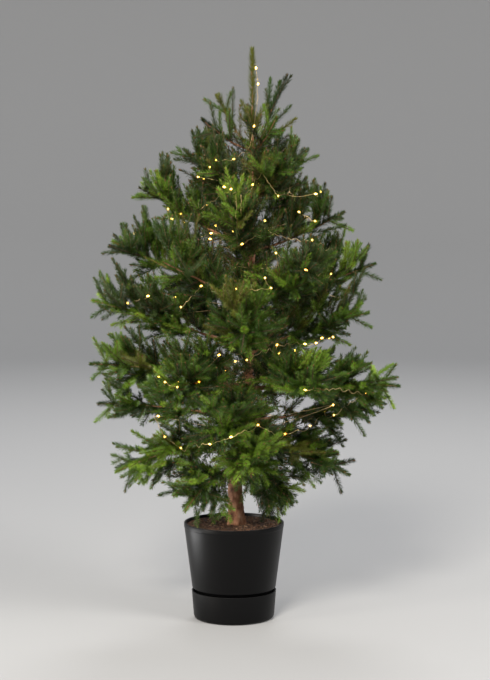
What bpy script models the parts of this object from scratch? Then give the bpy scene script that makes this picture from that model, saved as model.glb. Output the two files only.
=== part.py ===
# Potted christmas tree: a young live spruce in a round pot that stands in its own saucer.
# Metres, +Z up. The origin is the centre of the saucer's flat underside, on the floor.
# +X is to the right of the front view, and +Y runs away from it.

import math
import random

import bmesh
import bpy
import numpy as np
from mathutils import Vector

UP = Vector((0.0, 0.0, 1.0))
GAP = 0.0003                    # clearance between touching pieces
ROOT_GAP = 0.0004               # between the trunk's facets and a branch

# Pot
POT_HEIGHT = 0.286              # floor to the top of the rim
POT_RIM_RADIUS = 0.1475
POT_SKIRT_RADIUS = 0.1235       # lower edge of the visible wall
POT_SKIRT_HEIGHT = 0.0925
POT_FOOT_RADIUS = 0.1105        # the part that stands inside the saucer
POT_WALL = 0.004
POT_RIM_WALL = 0.006
POT_RIM_BAND = 0.012            # upright outer face of the rim
POT_INNER_LIP = 0.014           # the thick rim ends this far below the top, inside
EDGE = 0.002                    # size of the small bevels
ROUND_SIDES = 32

# Saucer
SAUCER_HEIGHT = 0.0835
SAUCER_RIM_RADIUS = 0.125
SAUCER_FLOOR_RADIUS = 0.1075    # flat underside
SAUCER_WALL = 0.0045
SAUCER_ROUNDING = 0.012

# Compost
SOIL_TOP = 0.272                # level ground round the trunk
SOIL_EDGE_DROP = 0.007
SOIL_LEVEL_RADIUS = 0.046
SOIL_CLEARANCE = 0.0006         # to the sloping walls of the pot

# Trunk: height, sideways place and radius at each turn of its centreline
TRUNK_LINE = (
    (SOIL_TOP + GAP, 0.008, 0.0230),
    (0.440, 0.004, 0.0205),
    (0.530, 0.020, 0.0185),
    (0.650, 0.038, 0.0160),
    (0.800, 0.044, 0.0140),
    (0.950, 0.051, 0.0120),
    (1.120, 0.052, 0.0095),
    (1.300, 0.058, 0.0062),
    (1.412, 0.055, 0.0042),
)
TRUNK_SIDES = 12
WHORL_RINGS = 0.013             # rings this far above and below each whorl
WHORL_STAGGER = 0.005           # every other branch of a whorl starts this much higher
TRUNK_DEPTH_LEAN = 0.012        # how far the upper trunk leans away from the front
FLARE_WIDTH = 0.011             # root flare at the soil
FLARE_HEIGHT = 0.028
FLARE_LOBES = 5
FLARE_RINGS = (0.0, 0.012, 0.032)

# Leader: the year's growth that ends the trunk, with short shoots round its root
LEADER_TIP = (0.053, 0.012, 1.668)
LEADER_WIDTH = 0.024
LEADER_BLADES = ((0.3, 1.0), (2.4, 0.93))     # turn round the stem and length of each
LEADER_SHOOTS = 4
LEADER_SHOOT_LENGTHS = (0.052, 0.066)

# Branches by whorl. Each whorl has its height on the trunk, how far its branches arch
# up between root and tip, and whether each starts as a bare bough. Each branch then has
# its bearing in degrees (0 is +X, 90 is +Y), its reach and the rise of its tip.
WHORLS = (
    (0.452, 0.020, False, ((236, 0.255, -0.095), (335, 0.180, -0.100))),
    (0.505, 0.025, False, ((350, 0.325, -0.070), (80, 0.325, -0.030), (188, 0.362, -0.062),
                           (276, 0.325, -0.035))),
    (0.585, 0.015, True, ((20, 0.395, -0.010), (108, 0.385, 0.030), (174, 0.432, 0.045),
                          (260, 0.385, 0.015))),
    (0.680, 0.015, True, ((356, 0.442, 0.012), (78, 0.400, 0.055), (186, 0.458, 0.080),
                          (238, 0.400, 0.040), (302, 0.390, 0.040))),
    (0.795, 0.008, True, ((350, 0.350, 0.115), (50, 0.390, 0.110), (126, 0.395, 0.120),
                          (180, 0.456, 0.140), (268, 0.395, 0.100))),
    (0.935, -0.004, False, ((6, 0.365, 0.110), (88, 0.355, 0.145), (172, 0.410, 0.175),
                            (228, 0.365, 0.130), (300, 0.355, 0.130))),
    (1.085, -0.008, False, ((350, 0.270, 0.115), (50, 0.260, 0.150), (120, 0.270, 0.155),
                            (184, 0.305, 0.180), (262, 0.270, 0.130))),
    (1.235, -0.010, False, ((14, 0.165, 0.145), (84, 0.175, 0.145), (164, 0.210, 0.145),
                            (226, 0.185, 0.110), (300, 0.180, 0.120))),
    (1.372, -0.010, False, ((22, 0.084, 0.205), (96, 0.115, 0.125), (168, 0.108, 0.165),
                            (208, 0.165, 0.090), (300, 0.130, 0.100))),
)
BOUGH_SHARE = 0.26              # bare part of a branch that starts as a bough
BOUGH_SIDES = 5
BOUGH_RINGS = 4
BOUGH_SLIMNESS = 0.0165         # root radius for each metre of reach, on top of the least
BOUGH_LEAST_RADIUS = 0.0015
BOUGH_SHARE_OF_TRUNK = 0.42
STEM_ROOT_RADIUS = 0.0034
STEM_TIP_RADIUS = 0.0022
STEM_RINGS = 5
STEM_SHARE = 0.72               # the stem ends inside the shoot at its tip
AXIS_STEPS = 16

# Growth of a mass: one year's length, and the side shoots at each year's end
YEAR = 0.108
MOST_YEARS = 4
SIDE_ANGLE = math.radians(50)
SIDE_FIRST = 0.80               # a side shoot's first growth, against one year of the stem
SIDE_SHARE = 0.42               # and what each further year adds
UPRIGHT_FIRST = 0.72            # the outermost shoots above and below, against one year
UPRIGHT_SHARE = 1.08            # and those further in
SPRAY_WIDTH = 0.045
SPRAY_FLATNESS = 0.70           # depth against width
TIP_SLIMNESS = 0.75
NOTCH = 0.62                    # width between two teeth, against the teeth
ROOT_SUNK = 0.002
LEAST_SPRAY = 0.050
LONG_SPRAY = 0.150              # longer ones have a third row of teeth
LONGEST_SPRAY = 0.190
LENGTH_TRIES = (1.0, 0.80, 0.64)    # shorter lengths tried where the full one has no room
SPACE_MARGIN = 0.0035           # kept clear on each side of the border between two spaces
LIMB_MARGIN = 0.006
SEED = 41


def remove_all_objects():
    for thing in list(bpy.data.objects):
        bpy.data.objects.remove(thing, do_unlink=True)


def plain_material(name, colour, roughness, metallic=0.0):
    material = bpy.data.materials.new(name)
    material.use_nodes = True
    shader = material.node_tree.nodes["Principled BSDF"]
    shader.inputs["Base Color"].default_value = (*colour, 1.0)
    shader.inputs["Roughness"].default_value = roughness
    shader.inputs["Metallic"].default_value = metallic
    return material


def object_from_bmesh(name, mesh_data, material=None, collection=None):
    bmesh.ops.recalc_face_normals(mesh_data, faces=mesh_data.faces)
    mesh = bpy.data.meshes.new(name)
    mesh_data.to_mesh(mesh)
    mesh_data.free()
    thing = bpy.data.objects.new(name, mesh)
    (collection or bpy.context.scene.collection).objects.link(thing)
    if material:
        mesh.materials.append(material)
    return thing


def smooth(thing, angle):
    thing.data.shade_smooth()
    thing.data.set_sharp_from_angle(angle=math.radians(angle))


def turned(name, profile, material):
    """A solid of revolution round Z from (radius, height) points that start and end on it."""
    mesh_data = bmesh.new()
    verts = [mesh_data.verts.new((radius, 0.0, height)) for radius, height in profile]
    edges = [mesh_data.edges.new((a, b)) for a, b in zip(verts, verts[1:])]
    bmesh.ops.spin(mesh_data, geom=verts + edges, cent=(0, 0, 0), axis=UP,
                   angle=math.tau, steps=ROUND_SIDES, use_merge=True)
    bmesh.ops.remove_doubles(mesh_data, verts=mesh_data.verts, dist=1e-6)
    thing = object_from_bmesh(name, mesh_data, material)
    smooth(thing, 35)
    return thing


def lofted(root, rings, tip):
    """A closed mesh through rings of points. Each end is a point, or flat where it is None."""
    mesh_data = bmesh.new()
    loops = [[mesh_data.verts.new(point) for point in ring] for ring in rings]
    sides = len(loops[0])
    for low, high in zip(loops, loops[1:]):
        for i in range(sides):
            j = (i + 1) % sides
            mesh_data.faces.new((low[i], low[j], high[j], high[i]))
    for end, loop in ((root, loops[0][::-1]), (tip, loops[-1])):
        if end is None:
            mesh_data.faces.new(loop)
            continue
        point = mesh_data.verts.new(end)
        for i in range(sides):
            mesh_data.faces.new((loop[i], loop[(i + 1) % sides], point))
    bmesh.ops.triangulate(mesh_data, faces=mesh_data.faces)
    return mesh_data


def circle_ring(centre, normal, radius, sides):
    """Points of a ring round a centre, in the plane across the normal."""
    normal = normal.normalized()
    first = UP if abs(normal.z) < 0.9 else Vector((1.0, 0.0, 0.0))
    first = (first - normal * first.dot(normal)).normalized()
    second = normal.cross(first)
    angles = [math.tau * i / sides for i in range(sides)]
    return [centre + (first * math.cos(a) + second * math.sin(a)) * radius for a in angles]


# Trunk

def trunk_at(height):
    """Centre and radius of the trunk at a height, on a smooth curve through its turns."""
    heights = [row[0] for row in TRUNK_LINE]
    height = min(max(height, heights[0]), heights[-1])
    k = max(i for i in range(len(heights) - 1) if heights[i] <= height)
    t = (height - heights[k]) / (heights[k + 1] - heights[k])
    before = TRUNK_LINE[max(k - 1, 0)]
    after = TRUNK_LINE[min(k + 2, len(TRUNK_LINE) - 1)]
    low, high = TRUNK_LINE[k], TRUNK_LINE[k + 1]
    span = high[0] - low[0]
    slope_low = (high[1] - before[1]) / (high[0] - before[0]) * span
    slope_high = (after[1] - low[1]) / (after[0] - low[0]) * span
    x = ((2 * t ** 3 - 3 * t ** 2 + 1) * low[1] + (t ** 3 - 2 * t ** 2 + t) * slope_low
         + (3 * t ** 2 - 2 * t ** 3) * high[1] + (t ** 3 - t ** 2) * slope_high)
    share = (height - heights[0]) / (heights[-1] - heights[0])
    radius = low[2] + (high[2] - low[2]) * t
    return Vector((x, TRUNK_DEPTH_LEAN * share, height)), radius


def trunk_direction(height):
    step = 0.01
    return (trunk_at(height + step)[0] - trunk_at(height - step)[0]).normalized()


def make_trunk(material):
    """One tapering stem with a lobed flare at the soil and flat ends."""
    bottom, top = TRUNK_LINE[0][0], TRUNK_LINE[-1][0]
    flare_heights = [bottom + step for step in FLARE_RINGS]
    whorl_heights = [whorl[0] + step for whorl in WHORLS for step in (-WHORL_RINGS, WHORL_RINGS)]
    rings = []
    for height in flare_heights + whorl_heights + [top]:
        centre, radius = trunk_at(height)
        flare = FLARE_WIDTH * math.exp(-(height - bottom) / FLARE_HEIGHT)
        ring = []
        for i in range(TRUNK_SIDES):
            angle = math.tau * i / TRUNK_SIDES
            lobe = 0.55 + 0.45 * math.cos(FLARE_LOBES * angle + 0.6)
            reach = radius + flare * lobe
            ring.append(centre + Vector((math.cos(angle), math.sin(angle), 0)) * reach)
        rings.append(ring)
    thing = object_from_bmesh("trunk", lofted(None, rings, None), material)
    smooth(thing, 50)
    return thing


# Branches

def branch_axis(height, arch, bearing, reach, rise):
    """Points along a branch, from the trunk's surface to the tip."""
    centre, radius = trunk_at(height)
    along = trunk_direction(height)
    turn = math.radians(bearing)
    corner = math.tau / TRUNK_SIDES
    surface = radius * math.cos(turn - corner * round(turn / corner))
    level = Vector((math.cos(turn), math.sin(turn), 0.0))
    out = (level - along * level.dot(along)).normalized()
    root = centre + out * (surface + ROOT_GAP)
    tip = centre + level * reach + UP * rise
    points = []
    for i in range(AXIS_STEPS + 1):
        t = i / AXIS_STEPS
        points.append(root.lerp(tip, t) + UP * (arch * 4 * t * (1 - t)))
    return points, out


def point_along(points, share):
    """Point and direction at a share of the way along a line of points."""
    place = min(max(share, 0.0), 1.0) * (len(points) - 1)
    k = min(int(place), len(points) - 2)
    step = points[k + 1] - points[k]
    return points[k] + step * (place - k), step.normalized()


def length_of(points):
    return sum((b - a).length for a, b in zip(points, points[1:]))


def make_bough(name, axis, out, reach, material):
    """The bare root of a branch: flat against the trunk, tapering to the mass's stem."""
    root_radius = min(BOUGH_LEAST_RADIUS + BOUGH_SLIMNESS * reach,
                      BOUGH_SHARE_OF_TRUNK * trunk_at(axis[0].z)[1])
    rings = []
    for i in range(BOUGH_RINGS):
        t = i / (BOUGH_RINGS - 1)
        centre, direction = point_along(axis, BOUGH_SHARE * t)
        radius = root_radius + (STEM_ROOT_RADIUS * 1.25 - root_radius) * t ** 0.8
        if i == 0:
            direction = out
        rings.append(circle_ring(centre, direction, radius, BOUGH_SIDES))
    thing = object_from_bmesh(name, lofted(None, rings, None), material)
    smooth(thing, 50)
    return thing


class Spaces:
    """The room each mass keeps to: what lies nearer to its own axis than to any other."""

    def __init__(self, axes):
        starts, ends, owners = [], [], []
        for owner, points in enumerate(axes):
            for a, b in zip(points, points[1:]):
                starts.append(a)
                ends.append(b)
                owners.append(owner)
        self.starts = np.array(starts)
        self.steps = np.array(ends) - self.starts
        self.lengths = (self.steps ** 2).sum(axis=1)
        self.owners = np.array(owners)

    def holds(self, owner, points):
        """True where every point lies in the owner's space and clear of trunk and pot."""
        points = np.array(points)
        offsets = points[:, None, :] - self.starts[None, :, :]
        shares = np.clip((offsets * self.steps).sum(axis=2) / self.lengths, 0.0, 1.0)
        gaps = np.linalg.norm(offsets - shares[:, :, None] * self.steps, axis=2)
        own = gaps[:, self.owners == owner].min(axis=1)
        other = gaps[:, self.owners != owner].min(axis=1)
        if (other - own).min() < 2 * SPACE_MARGIN:
            return False
        for x, y, z in points:
            centre, radius = trunk_at(z)
            inside_trunk = math.hypot(x - centre.x, y - centre.y) < radius + LIMB_MARGIN
            if inside_trunk and z < TRUNK_LINE[-1][0] + LIMB_MARGIN:
                return False
            if z < POT_HEIGHT + LIMB_MARGIN:
                return False
        return True


def blade_rings(start, direction, face_up, length, width, curl):
    """Root point, rings and tip of a toothed blade, which stands for shoots in needles."""
    rows = 3 if length > LONG_SPRAY else 2
    side = direction.cross(face_up).normalized()
    face_up = side.cross(direction).normalized()
    count = 2 * rows - 1
    rings = []
    for i in range(count):
        tooth = i % 2 == 0
        t = (i + (1.15 if tooth else 0.80)) / (count + 1.0)
        body = (1.0 if tooth else NOTCH) * (1.0 - 0.50 * t ** 1.5)
        centre = start + direction * (length * t) + curl * (length * t * t)
        half = side * (width * body / 2)
        ridge = face_up * (width * body * SPRAY_FLATNESS)
        sunk = centre - ridge * 0.4
        rings.append([sunk - half, sunk + half, centre + ridge * 0.6])
    return [start, rings, start + (direction + curl) * length]


def spray_object(collection, blade):
    return object_from_bmesh("spray", lofted(*blade), collection=collection)


def points_of(blade):
    """Corners of a blade and the middles of its long edges, for the test of its room."""
    root, rings, tip = blade
    corners = [point for ring in rings for point in ring] + [tip]
    middles = [(a + b) / 2 for low, high in zip(rings, rings[1:]) for a, b in zip(low, high)]
    return corners + middles


def side_direction(along, roll, angle, turn_up):
    """A shoot's direction: out from the stem by angle, turned round it by roll."""
    side = along.cross(UP)
    side = side.normalized() if side.length > 1e-4 else Vector((1.0, 0.0, 0.0))
    above = side.cross(along).normalized()
    out = side * math.cos(roll) + above * math.sin(roll)
    return (along * math.cos(angle) + out * math.sin(angle) + UP * turn_up).normalized(), above


def grow_sprays(owner, stem, lift, spaces, collection, rng):
    """Sprays of one mass: the stem's own tip, then shoots on all sides back to the root."""
    total = length_of(stem)

    def place(share, roll, angle, length, width):
        start, along = point_along(stem, share)
        direction, above = side_direction(along, roll, angle, lift)
        start = start - direction * ROOT_SUNK
        for shorter in LENGTH_TRIES:
            size = length * shorter
            if size < LEAST_SPRAY:
                return
            curl = UP * rng.uniform(0.02, 0.07) * (1.0 if lift > 0 else -1.0)
            blade = blade_rings(start, direction, above, size, width, curl)
            if spaces.holds(owner, points_of(blade)):
                spray_object(collection, blade)
                return

    # The shoot that ends the stem
    start, along = point_along(stem, 1.0 - min(YEAR / total, 0.6))
    above = side_direction(along, 0.0, 0.0, 0.0)[1]
    ahead = stem[-1] - start
    tip_blade = blade_rings(start, ahead.normalized(), above, ahead.length,
                            SPRAY_WIDTH * TIP_SLIMNESS, Vector((0, 0, 0)))
    spray_object(collection, tip_blade)

    # Back from the tip: a pair of side shoots at each year's end, and one above and one
    # below half a year on
    step = YEAR / 2
    halves = [k for k in range(1, 2 * MOST_YEARS) if k * step < total - step * 0.7]
    nodes = [(k, k * step) for k in halves] + [(len(halves) + 1, total * 0.985)]
    for k, distance in nodes:
        share = 1.0 - distance / total
        if k % 2 == 0:
            length = min(YEAR * (SIDE_FIRST + SIDE_SHARE * k / 2), LONGEST_SPRAY)
            tilt = rng.uniform(-0.15, 0.60)
            rolls = [(tilt, length), (math.pi - tilt + rng.uniform(-0.3, 0.3), length)]
        else:
            length = YEAR * (UPRIGHT_FIRST if k == 1 else UPRIGHT_SHARE)
            rolls = [(rng.uniform(1.1, 2.0), length), (rng.uniform(-2.0, -1.1), length)]
        for roll, length in rolls:
            place(share + rng.uniform(0.0, 0.03), roll, SIDE_ANGLE * rng.uniform(0.88, 1.18),
                  length * rng.uniform(0.88, 1.10), SPRAY_WIDTH * rng.uniform(0.88, 1.12))


def joined_mesh(stem_object, collection, solver):
    """Mesh of a stem and every spray of a collection, joined by one Boolean union."""
    union = stem_object.modifiers.new("join", "BOOLEAN")
    union.operation = "UNION"
    union.operand_type = "COLLECTION"
    union.collection = collection
    union.solver = solver
    bpy.context.view_layer.update()
    evaluated = stem_object.evaluated_get(bpy.context.evaluated_depsgraph_get())
    mesh = bpy.data.meshes.new_from_object(evaluated)
    stem_object.modifiers.remove(union)
    mesh_data = bmesh.new()
    mesh_data.from_mesh(mesh)
    bpy.data.meshes.remove(mesh)
    return mesh_data


def fused(name, stem_object, collection, material):
    """One solid of a stem and its sprays. Sealed hollows are filled and scraps dropped."""
    for solver in ("EXACT", "MANIFOLD"):
        mesh_data = joined_mesh(stem_object, collection, solver)
        bmesh.ops.triangulate(mesh_data, faces=mesh_data.faces)
        keep_largest_shell(mesh_data)
        if all(len(edge.link_faces) == 2 for edge in mesh_data.edges):
            break
    for thing in [stem_object] + list(collection.objects):
        bpy.data.objects.remove(thing, do_unlink=True)
    bpy.data.collections.remove(collection)
    return object_from_bmesh(name, mesh_data, material)


def keep_largest_shell(mesh_data):
    mesh_data.faces.ensure_lookup_table()
    seen, shells = set(), []
    for face in mesh_data.faces:
        if face.index in seen:
            continue
        shell, front = [], [face]
        seen.add(face.index)
        while front:
            here = front.pop()
            shell.append(here)
            for edge in here.edges:
                for other in edge.link_faces:
                    if other.index not in seen:
                        seen.add(other.index)
                        front.append(other)
        shells.append(shell)
    shells.sort(key=len, reverse=True)
    spare = [face for shell in shells[1:] for face in shell]
    bmesh.ops.delete(mesh_data, geom=spare, context="FACES")


def make_mass(name, owner, stem, lift, spaces, root_direction, material, seed):
    """A mass of needles: one slim stem that branches into toothed sprays."""
    rng = random.Random(seed)
    collection = bpy.data.collections.new(name + "_sprays")
    bpy.context.scene.collection.children.link(collection)
    grow_sprays(owner, stem, lift, spaces, collection, rng)
    rings = []
    for i in range(STEM_RINGS):
        t = i / (STEM_RINGS - 1) * STEM_SHARE
        centre, along = point_along(stem, t)
        radius = STEM_ROOT_RADIUS + (STEM_TIP_RADIUS - STEM_ROOT_RADIUS) * t
        rings.append(circle_ring(centre, root_direction if i == 0 else along, radius, 3))
    stem_object = object_from_bmesh(name + "_stem", lofted(None, rings, None))
    return fused(name, stem_object, collection, material)


def side_word(bearing):
    words = ("right", "back_right", "back", "back_left", "left", "front_left", "front",
             "front_right")
    return words[round(bearing / 45) % 8]


# Pot, saucer and compost

def make_pot(material):
    """Open pot with a thicker rolled rim and a foot that steps in below the skirt."""
    foot = SAUCER_WALL + GAP
    inner_foot = POT_FOOT_RADIUS - POT_WALL
    inner_rim = POT_RIM_RADIUS - POT_RIM_WALL
    neck = SAUCER_HEIGHT - EDGE
    profile = [
        (0.0, foot),
        (POT_FOOT_RADIUS - 2 * EDGE, foot),
        (POT_FOOT_RADIUS, foot + 2 * EDGE),
        (POT_FOOT_RADIUS + 2 * EDGE, neck),
        (POT_SKIRT_RADIUS - EDGE / 2, POT_SKIRT_HEIGHT - 1.5 * EDGE),
        (POT_SKIRT_RADIUS, POT_SKIRT_HEIGHT),
        (POT_RIM_RADIUS - EDGE / 2, POT_HEIGHT - POT_RIM_BAND - 2 * EDGE),
        (POT_RIM_RADIUS, POT_HEIGHT - POT_RIM_BAND),
        (POT_RIM_RADIUS, POT_HEIGHT - EDGE),
        (POT_RIM_RADIUS - EDGE, POT_HEIGHT),
        (inner_rim + EDGE / 2, POT_HEIGHT),
        (inner_rim, POT_HEIGHT - EDGE),
        (inner_rim - EDGE, POT_HEIGHT - POT_INNER_LIP),
        (POT_SKIRT_RADIUS - POT_WALL - EDGE / 2, POT_SKIRT_HEIGHT),
        (inner_foot + 1.5 * EDGE, neck - EDGE),
        (inner_foot, foot + POT_WALL),
        (0.0, foot + POT_WALL),
    ]
    return turned("pot", profile, material)


def make_saucer(material):
    """Reservoir saucer: an open cup with a rounded foot and a flat underside."""
    flat = SAUCER_FLOOR_RADIUS
    foot = SAUCER_ROUNDING
    side = flat + foot
    arc = [(flat + foot * math.sin(a), foot - foot * math.cos(a))
           for a in (math.radians(d) for d in (0, 30, 60, 85))]
    profile = [(0.0, 0.0)] + arc + [
        (SAUCER_RIM_RADIUS, SAUCER_HEIGHT - EDGE),
        (SAUCER_RIM_RADIUS - EDGE / 2, SAUCER_HEIGHT),
        (SAUCER_RIM_RADIUS - SAUCER_WALL + EDGE / 2, SAUCER_HEIGHT),
        (SAUCER_RIM_RADIUS - SAUCER_WALL, SAUCER_HEIGHT - EDGE),
        (side - SAUCER_WALL, foot + 2 * EDGE),
        (side - SAUCER_WALL - 1.5 * EDGE, SAUCER_WALL),
        (0.0, SAUCER_WALL),
    ]
    return turned("saucer", profile, material)


def make_soil(material):
    """The compost that fills the pot, level round the trunk and lower at the wall."""
    bottom = SAUCER_WALL + GAP + POT_WALL + GAP
    foot = POT_FOOT_RADIUS - POT_WALL - SOIL_CLEARANCE
    neck = SAUCER_HEIGHT - 2 * EDGE
    wall = POT_RIM_RADIUS - POT_RIM_WALL - EDGE
    skirt = POT_SKIRT_RADIUS - POT_WALL - EDGE / 2
    top = SOIL_TOP - SOIL_EDGE_DROP
    rise = (top - POT_SKIRT_HEIGHT) / (POT_HEIGHT - POT_INNER_LIP - POT_SKIRT_HEIGHT)
    top_radius = skirt + (wall - skirt) * rise - SOIL_CLEARANCE
    profile = [
        (0.0, bottom),
        (foot, bottom),
        (foot + 1.5 * EDGE, neck),
        (skirt - 2 * SOIL_CLEARANCE, POT_SKIRT_HEIGHT + EDGE / 2),
        (top_radius, top),
        ((top_radius + SOIL_LEVEL_RADIUS) / 2, top + SOIL_EDGE_DROP * 0.7),
        (SOIL_LEVEL_RADIUS, SOIL_TOP),
        (0.0, SOIL_TOP),
    ]
    return turned("soil", profile, material)


def make_crown(bark, needles):
    """Boughs and masses of every whorl, then the leader that ends the trunk."""
    branches = []
    for level, (height, arch, with_bough, rows) in enumerate(WHORLS, start=1):
        for i, (bearing, reach, rise) in enumerate(rows):
            start = height + WHORL_STAGGER * (i % 2)
            axis, out = branch_axis(start, arch, bearing, reach, rise)
            label = f"{level}_{side_word(bearing)}"
            branches.append((label, axis, out, reach, rise, with_bough))
    top = trunk_at(TRUNK_LINE[-1][0])[0]
    leader_root = top + UP * GAP
    leader = [leader_root.lerp(Vector(LEADER_TIP), i / 8) for i in range(9)]
    spaces = Spaces([branch[1] for branch in branches] + [leader])

    for owner, (label, axis, out, reach, rise, with_bough) in enumerate(branches):
        stem, root_direction = axis, out
        if with_bough:
            make_bough("bough_" + label, axis, out, reach, bark)
            first = BOUGH_SHARE + GAP / length_of(axis)
            stem = [point_along(axis, first + (1 - first) * i / AXIS_STEPS)[0]
                    for i in range(AXIS_STEPS + 1)]
            root_direction = point_along(axis, BOUGH_SHARE)[1]
        lift = 0.30 * rise / reach
        make_mass("needles_" + label, owner, stem, lift, spaces, root_direction, needles,
                  SEED + owner)
    make_leader(leader, len(branches), spaces, needles)


def make_leader(stem, owner, spaces, material):
    """The needle-clad leader with a few short shoots round its root."""
    rng = random.Random(SEED + owner)
    collection = bpy.data.collections.new("leader_sprays")
    bpy.context.scene.collection.children.link(collection)
    along = (stem[-1] - stem[0]).normalized()
    straight = Vector((0.0, 0.0, 0.0))
    for turn, share in LEADER_BLADES:
        side = Vector((math.cos(turn), math.sin(turn), 0.0))
        root = stem[0] + along * (0.012 + 0.004 * turn)
        ahead = stem[-1] - root
        blade = blade_rings(root, ahead.normalized(), side, ahead.length * share,
                            LEADER_WIDTH, straight)
        spray_object(collection, blade)
    for i in range(LEADER_SHOOTS):
        turn = 0.9 + i * math.tau / LEADER_SHOOTS
        out = Vector((math.cos(turn), math.sin(turn), 0.0))
        direction = (along + out * 0.75).normalized()
        root = stem[0] + along * (0.030 + 0.010 * i)
        blade = blade_rings(root, direction, along, rng.uniform(*LEADER_SHOOT_LENGTHS),
                            LEADER_WIDTH, straight)
        if spaces.holds(owner, points_of(blade)):
            spray_object(collection, blade)
    rings = [circle_ring(stem[i], along, STEM_ROOT_RADIUS, 3) for i in (0, 2, 4)]
    stem_object = object_from_bmesh("leader_stem", lofted(None, rings, None))
    return fused("leader", stem_object, collection, material)


def main():
    remove_all_objects()
    plastic = plain_material("black_plastic", (0.012, 0.012, 0.013), 0.42)
    compost = plain_material("compost", (0.055, 0.030, 0.018), 0.95)
    bark = plain_material("bark", (0.165, 0.088, 0.048), 0.85)
    needles = plain_material("spruce_needles", (0.050, 0.115, 0.030), 0.60)
    make_saucer(plastic)
    make_pot(plastic)
    make_soil(compost)
    make_trunk(bark)
    make_crown(bark, needles)


main()
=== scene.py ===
import math
import random

import bmesh
import bpy
import numpy as np
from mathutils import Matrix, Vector, noise


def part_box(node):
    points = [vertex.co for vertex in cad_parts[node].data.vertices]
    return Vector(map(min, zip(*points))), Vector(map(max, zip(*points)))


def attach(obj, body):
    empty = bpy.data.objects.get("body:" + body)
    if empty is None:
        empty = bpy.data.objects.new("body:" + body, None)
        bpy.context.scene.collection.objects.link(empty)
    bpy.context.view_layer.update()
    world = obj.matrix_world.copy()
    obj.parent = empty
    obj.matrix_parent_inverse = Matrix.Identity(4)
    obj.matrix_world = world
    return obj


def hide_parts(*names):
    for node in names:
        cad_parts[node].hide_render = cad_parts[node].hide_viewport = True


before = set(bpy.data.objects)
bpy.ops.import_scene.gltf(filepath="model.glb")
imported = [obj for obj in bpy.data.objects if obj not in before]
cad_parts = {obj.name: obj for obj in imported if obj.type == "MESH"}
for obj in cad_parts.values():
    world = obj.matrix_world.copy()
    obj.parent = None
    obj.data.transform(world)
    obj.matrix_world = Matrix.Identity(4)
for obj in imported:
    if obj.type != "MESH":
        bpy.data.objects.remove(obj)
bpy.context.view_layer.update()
print("frame loaded:", len(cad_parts), "nodes")

up = Vector((0.0, 0.0, 1.0))
potLow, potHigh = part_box("pot")
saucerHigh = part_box("saucer")[1]
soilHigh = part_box("soil")[1]

# Camera, fitted on the pot's ellipses, the compost and the leader's tip
camera = {
    "place": (0.0327, -6.0, 1.436),
    "down": math.radians(5.81),
    "lens": 109.0, "sensor": 36.0,
    "photoWidth": 490, "photoHeight": 680,
}
focal = camera["lens"] / camera["sensor"] * camera["photoHeight"]   # in the photograph's pixels


def placeThing(name, data):
    thing = bpy.data.objects.new(name, data)
    bpy.context.scene.collection.objects.link(thing)
    return thing


def makeCamera():
    data = bpy.data.cameras.new("photoCamera")
    data.lens = camera["lens"]
    data.sensor_width = camera["sensor"]
    thing = placeThing("photoCamera", data)
    thing.location = camera["place"]
    thing.rotation_euler = (math.radians(90) - camera["down"], 0.0, 0.0)
    bpy.context.scene.camera = thing


def sightLine(px, py):
    # start and direction of the line of sight through a pixel of the photograph
    across = (px - camera["photoWidth"] / 2) / focal
    rise = (camera["photoHeight"] / 2 - py) / focal
    down = camera["down"]
    ahead = math.cos(down) + rise * math.sin(down)
    climb = rise * math.cos(down) - math.sin(down)
    return np.array(camera["place"]), np.array(Vector((across, ahead, climb)).normalized())


def photoPixel(point):
    # where a point of the tree shows in the photograph
    x, y, z = (a - b for a, b in zip(point, camera["place"]))
    down = camera["down"]
    depth = y * math.cos(down) - z * math.sin(down)
    rise = y * math.sin(down) + z * math.cos(down)
    return (camera["photoWidth"] / 2 + focal * x / depth,
            camera["photoHeight"] / 2 - focal * rise / depth)


# Small helpers for meshes and materials

def showMesh(name, mesh, materials, nodes=()):
    thing = placeThing(name, mesh)
    for material in materials:
        mesh.materials.append(material)
    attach(thing, "root")
    if nodes:
        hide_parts(*nodes)
    return thing


def meshFromArrays(name, points, faces, tints=None, smooth=False):
    mesh = bpy.data.meshes.new(name)
    mesh.vertices.add(len(points))
    mesh.vertices.foreach_set("co", np.asarray(points, np.float32).ravel())
    mesh.loops.add(faces.size)
    mesh.loops.foreach_set("vertex_index", faces.astype(np.int32).ravel())
    mesh.polygons.add(len(faces))
    starts = np.arange(0, faces.size, faces.shape[1], dtype=np.int32)
    mesh.polygons.foreach_set("loop_start", starts)
    if tints is not None:
        mesh.polygons.foreach_set("material_index", tints.astype(np.int32))
    mesh.polygons.foreach_set("use_smooth", np.full(len(faces), smooth))
    mesh.update(calc_edges=True)
    return mesh


def showParts(name, parts, materials, nodes=()):
    # several (points, faces, tints) as one smooth piece
    points, faces, tints = zip(*parts)
    starts = np.cumsum([0] + [len(part) for part in points[:-1]])
    faces = np.concatenate([part + start for part, start in zip(faces, starts)])
    mesh = meshFromArrays(name, np.concatenate(points), faces, np.concatenate(tints), smooth=True)
    return showMesh(name, mesh, materials, nodes)


def gridQuads(rings, sides, flipped=False):
    # faces between one closed ring of points and the next
    index = np.arange(rings * sides).reshape(rings, sides)
    beside = np.roll(index, -1, axis=1)
    corners = [index[:-1], beside[:-1], beside[1:], index[1:]]
    if flipped:
        corners = corners[:1] + corners[:0:-1]
    return np.stack(corners, axis=-1).reshape(-1, 4)


def unit(vectors):
    return vectors / (np.linalg.norm(vectors, axis=-1, keepdims=True) + 1e-9)


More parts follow.
